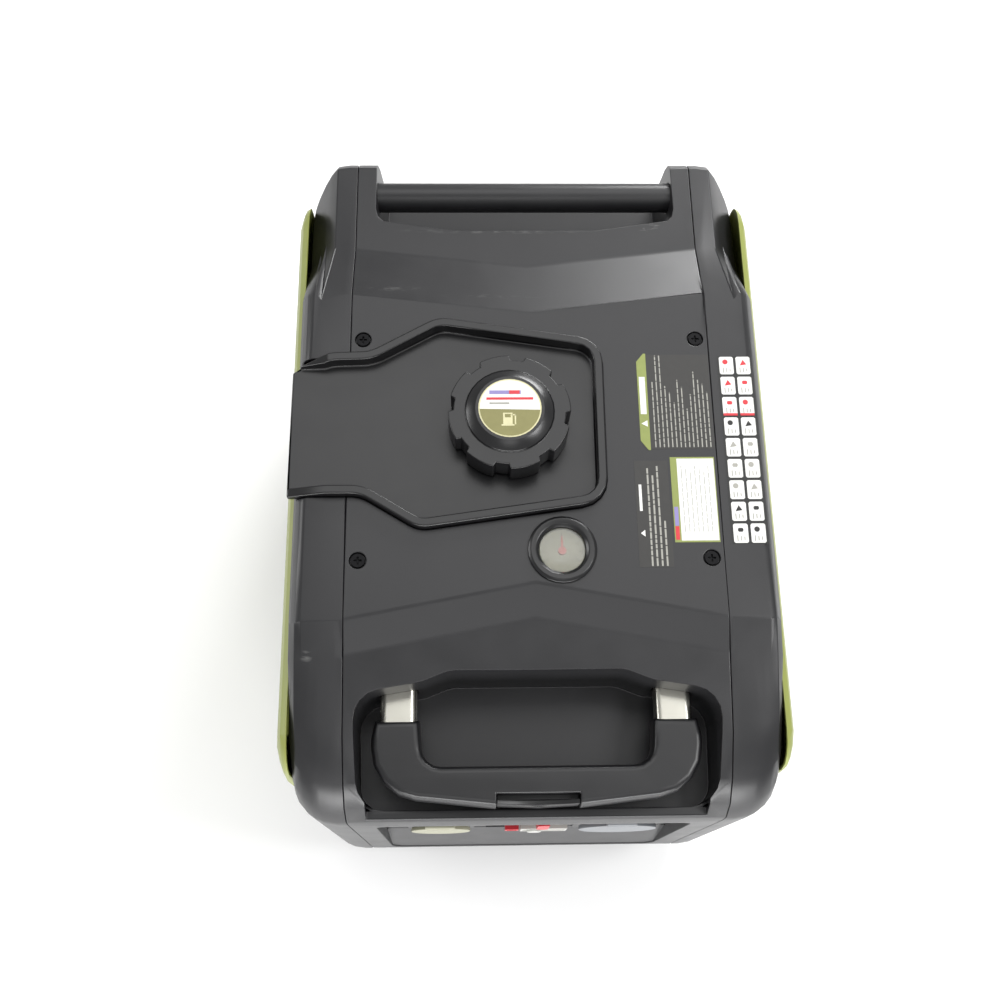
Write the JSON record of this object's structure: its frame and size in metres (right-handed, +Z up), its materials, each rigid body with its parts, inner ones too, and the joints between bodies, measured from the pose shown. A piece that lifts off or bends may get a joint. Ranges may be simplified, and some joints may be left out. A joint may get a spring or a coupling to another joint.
{
  "type": "portable inverter generator",
  "caption": "Closed portable inverter generator with a pull-out trolley handle, rear carrying bar and wheels, filler cap in a spill tray, fuel gauge, socket panel and a working engine layout.",
  "frame": {"origin": "on the floor, under the centre of the generator's outline seen from above", "axes": "+Z up, -Y towards the control panel and the trolley handle, +Y towards the exhaust, +X the right side seen from the panel"},
  "size_m": [0.45, 0.62, 0.514],
  "materials": {
    "case_plastic": "fine grained moulded black plastic",
    "dark_plastic": "satin black plastic",
    "side_plastic": "satin yellow-green plastic",
    "soft_rubber": "matt black rubber",
    "wheel_tyre": "matt solid rubber tyre",
    "tube_chrome": "polished chrome plating",
    "bright_steel": "zinc plated steel",
    "cast_aluminium": "as cast aluminium",
    "tank_plastic": "natural polyethylene",
    "winding": null,
    "lens": "clear acrylic",
    "red_plastic": "satin red plastic"
  },
  "bodies": {
    "case": {"top_cover": "case_plastic", "left_side_frame": "case_plastic", "right_side_frame": "case_plastic", "front_frame": "case_plastic", "rear_cover": "case_plastic", "base_pan": "case_plastic", "fuel_tray": "case_plastic", "left_side_panel": "side_plastic", "right_side_panel": "side_plastic", "control_panel": "dark_plastic", "rear_carry_bar": "dark_plastic", "gauge_bezel": "dark_plastic", "filler_neck": "dark_plastic", "spark_plug": "dark_plastic", "air_cleaner": "dark_plastic", "left_socket": "dark_plastic", "right_socket": "dark_plastic", "left_foot": "soft_rubber", "right_foot": "soft_rubber", "cover_screw_1": "bright_steel", "cover_screw_2": "bright_steel", "cover_screw_3": "bright_steel", "cover_screw_4": "bright_steel", "left_guide_tube": "bright_steel", "right_guide_tube": "bright_steel", "wheel_axle": "bright_steel", "muffler": "bright_steel", "exhaust_tip": "bright_steel", "recoil_housing": "bright_steel", "crankcase": "cast_aluminium", "cylinder": "cast_aluminium", "carburettor": "cast_aluminium", "inverter_module": "cast_aluminium", "fuel_tank": "tank_plastic", "fuel_strainer": "tank_plastic", "alternator_stator": "winding", "gauge_lens": "lens"},
    "handle": {"handle_grip": "soft_rubber", "left_handle_tube": "tube_chrome", "right_handle_tube": "tube_chrome"},
    "release_button": {"handle_release_button": "dark_plastic"},
    "cap_seal": {"fuel_cap_seal": "soft_rubber"},
    "cap": {"fuel_cap": "dark_plastic"},
    "float": {"gauge_float": "dark_plastic"},
    "pointer": {"gauge_pointer": "red_plastic"},
    "crank": {"crankshaft": "bright_steel", "alternator_rotor": "bright_steel", "cooling_fan": "dark_plastic"},
    "left_wheel": {"left_tyre": "wheel_tyre", "left_hub": "dark_plastic"},
    "right_wheel": {"right_tyre": "wheel_tyre", "right_hub": "dark_plastic"},
    "door": {"service_door": "side_plastic"},
    "latch": {"door_latch": "dark_plastic"},
    "starter_grip": {"recoil_grip": "soft_rubber"},
    "engine_switch": {"engine_switch_knob": "red_plastic"},
    "eco_rocker": {"eco_switch": "dark_plastic"},
    "breaker": {"breaker_button": "dark_plastic"},
    "left_outlet_cover": {"left_socket_cover": "dark_plastic"},
    "right_outlet_cover": {"right_socket_cover": "dark_plastic"}
  },
  "joints": [
    {"name": "handle_slide", "type": "slide", "parent": "case", "child": "handle", "axis": [0, -1, 0], "range_m": [0, 0.33]},
    {"name": "release_press", "type": "slide", "parent": "handle", "child": "release_button", "axis": [0, 1, 0], "range_m": [0, 0.004], "stiffness_N_per_m": 300, "springref_m": -0.003},
    {"name": "cap_rise", "type": "slide", "parent": "case", "child": "cap_seal", "axis": [0, 0, 1], "range_m": [0, 0.0091]},
    {"name": "cap_turn", "type": "hinge", "parent": "cap_seal", "child": "cap", "pos_m": [-0.02, 0.023, 0.49], "axis": [0, 0, 1], "range_deg": [0, 540]},
    {"name": "float_swing", "type": "hinge", "parent": "case", "child": "float", "pos_m": [0.023, -0.095, 0.425], "axis": [1, 0, 0], "range_deg": [0, 45]},
    {"name": "pointer_turn", "type": "hinge", "parent": "case", "child": "pointer", "pos_m": [0.023, -0.095, 0.48], "axis": [0, 0, 1], "range_deg": [-120, 0]},
    {"name": "crank_turn", "type": "hinge", "parent": "case", "child": "crank", "pos_m": [0, 0, 0.16], "axis": [0, 1, 0], "continuous": true},
    {"name": "left_wheel_turn", "type": "hinge", "parent": "case", "child": "left_wheel", "pos_m": [-0.183, 0.205, 0.056], "axis": [1, 0, 0], "continuous": true},
    {"name": "right_wheel_turn", "type": "hinge", "parent": "case", "child": "right_wheel", "pos_m": [0.183, 0.205, 0.056], "axis": [1, 0, 0], "continuous": true},
    {"name": "door_swing", "type": "hinge", "parent": "case", "child": "door", "pos_m": [-0.21996, -0.0076, 0.25], "axis": [0, 0, 1], "range_deg": [0, 100]},
    {"name": "latch_turn", "type": "hinge", "parent": "door", "child": "latch", "pos_m": [-0.22, 0.132, 0.25], "axis": [1, 0, 0], "range_deg": [0, 90]},
    {"name": "starter_pull", "type": "slide", "parent": "case", "child": "starter_grip", "axis": [1, 0, 0], "range_m": [0, 0.15]},
    {"name": "engine_switch_turn", "type": "hinge", "parent": "case", "child": "engine_switch", "pos_m": [0.01, -0.298, 0.325], "axis": [0, 1, 0], "range_deg": [0, 90]},
    {"name": "eco_rock", "type": "hinge", "parent": "case", "child": "eco_rocker", "pos_m": [-0.03, -0.297, 0.24], "axis": [-1, 0, 0], "range_deg": [0, 16]},
    {"name": "breaker_press", "type": "slide", "parent": "case", "child": "breaker", "axis": [0, 1, 0], "range_m": [0, 0.003], "stiffness_N_per_m": 400, "springref_m": -0.002},
    {"name": "left_outlet_cover_lift", "type": "hinge", "parent": "case", "child": "left_outlet_cover", "pos_m": [-0.084, -0.3045, 0.3], "axis": [-1, 0, 0], "range_deg": [0, 110]},
    {"name": "right_outlet_cover_lift", "type": "hinge", "parent": "case", "child": "right_outlet_cover", "pos_m": [0.084, -0.3045, 0.309], "axis": [-1, 0, 0], "range_deg": [0, 110]}
  ],
  "couplings": [
    {"joint": "cap_rise", "follows": "cap_turn", "m_per_rad": 0.00095493},
    {"joint": "pointer_turn", "follows": "float_swing", "ratio": -2.6}
  ]
}
